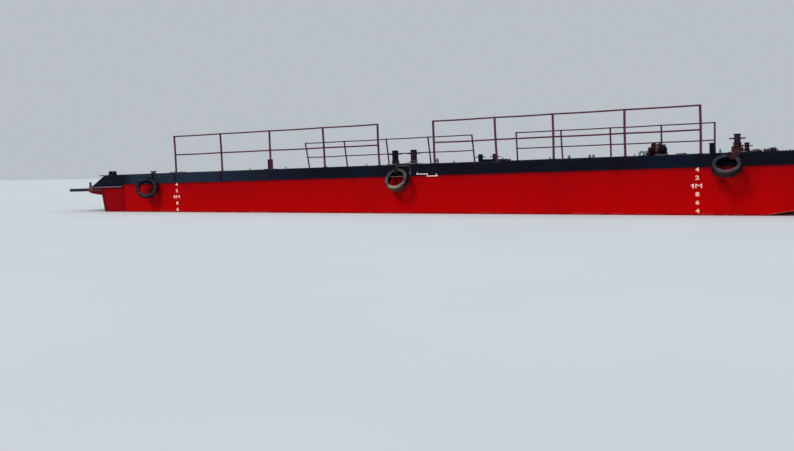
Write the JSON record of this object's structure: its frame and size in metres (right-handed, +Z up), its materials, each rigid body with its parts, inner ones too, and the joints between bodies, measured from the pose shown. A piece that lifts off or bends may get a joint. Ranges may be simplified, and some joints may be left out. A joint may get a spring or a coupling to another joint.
{
  "type": "river barge",
  "caption": "Flat-decked steel river barge with a raked bow, square ledged stern, leaning pipe rails, bollards, hatches, hand winch and old tyres hung as fenders.",
  "frame": {"origin": "below the middle of the overall box, at the height of the flat bottom", "axes": "+X along the barge to the raked bow, +Y to port, +Z up"},
  "size_m": [25.974, 9.7656, 3.01],
  "materials": {
    "hull_red": "red hull paint, streaked and scuffed",
    "belt_black": "bituminous black paint with rubbed edges",
    "deck_steel": "worn deck paint over rusty plate",
    "rail_red": "dull red-lead pipe paint",
    "ledge_pale": "rubbed pale steel edge",
    "platform_slate": "dark slate-blue paint",
    "tyre_rubber": "old dusty tyre rubber",
    "bollard_black": "black paint with rust at the edges",
    "winch_rust": "brown-red rust",
    "worn_steel": "handled bare steel"
  },
  "bodies": {
    "barge": {"hull": "hull_red", "main_deck": "deck_steel", "belt_starboard": "belt_black", "belt_port": "belt_black", "skeg_starboard": "hull_red", "skeg_port": "hull_red", "headlog": "belt_black", "stern_slope_plate": "belt_black", "stern_ledge": "ledge_pale", "stern_platform": "platform_slate", "cargo_plate": "deck_steel", "rail_starboard_aft": "rail_red", "rail_starboard_fore": "rail_red", "rail_port_aft": "rail_red", "rail_port_fore": "rail_red", "fender_aft_starboard": "tyre_rubber", "fender_aft_port": "tyre_rubber", "fender_middle_starboard": "tyre_rubber", "fender_middle_port": "tyre_rubber", "fender_fore_starboard": "tyre_rubber", "fender_fore_port": "tyre_rubber", "twin_bollard_starboard": "bollard_black", "twin_bollard_port": "bollard_black", "cross_bollard_starboard": "bollard_black", "cross_bollard_port": "bollard_black", "mooring_post_port": "bollard_black", "mooring_post_starboard": "winch_rust", "chock_stern_starboard": "bollard_black", "chock_stern_port": "bollard_black", "chock_bow_starboard": "bollard_black", "chock_bow_port": "bollard_black", "hatch_coaming_starboard": "bollard_black", "hatch_coaming_port": "bollard_black", "vent_aft": "bollard_black", "vent_middle": "bollard_black", "vent_fore": "bollard_black", "vent_bow": "bollard_black", "vent_nose": "bollard_black", "mushroom_vent": "hull_red", "manhole_aft_starboard": "winch_rust", "manhole_aft_port": "winch_rust", "manhole_fore_starboard": "winch_rust", "manhole_fore_port": "winch_rust", "winch_frame": "bollard_black", "winch_gearbox": "winch_rust"},
    "lid_starboard": {"hatch_lid_starboard": "bollard_black"},
    "lid_port": {"hatch_lid_port": "bollard_black"},
    "drum": {"winch_drum": "winch_rust"},
    "crank": {"winch_crank": "worn_steel"}
  },
  "joints": [
    {"name": "lid_starboard_hinge", "type": "hinge", "parent": "barge", "child": "lid_starboard", "pos_m": [1.691, -3.1, 1.891], "axis": [0, -1, 0], "range_deg": [0, 110]},
    {"name": "lid_port_hinge", "type": "hinge", "parent": "barge", "child": "lid_port", "pos_m": [1.691, 3.1, 1.891], "axis": [0, -1, 0], "range_deg": [0, 110]},
    {"name": "drum_spin", "type": "hinge", "parent": "barge", "child": "drum", "pos_m": [6.043, 0, 2.064], "axis": [1, 0, 0], "continuous": true},
    {"name": "crank_spin", "type": "hinge", "parent": "barge", "child": "crank", "pos_m": [6.043, -0.05, 2.019], "axis": [1, 0, 0], "continuous": true}
  ],
  "couplings": [
    {"joint": "crank_spin", "follows": "drum_spin", "ratio": -4}
  ]
}
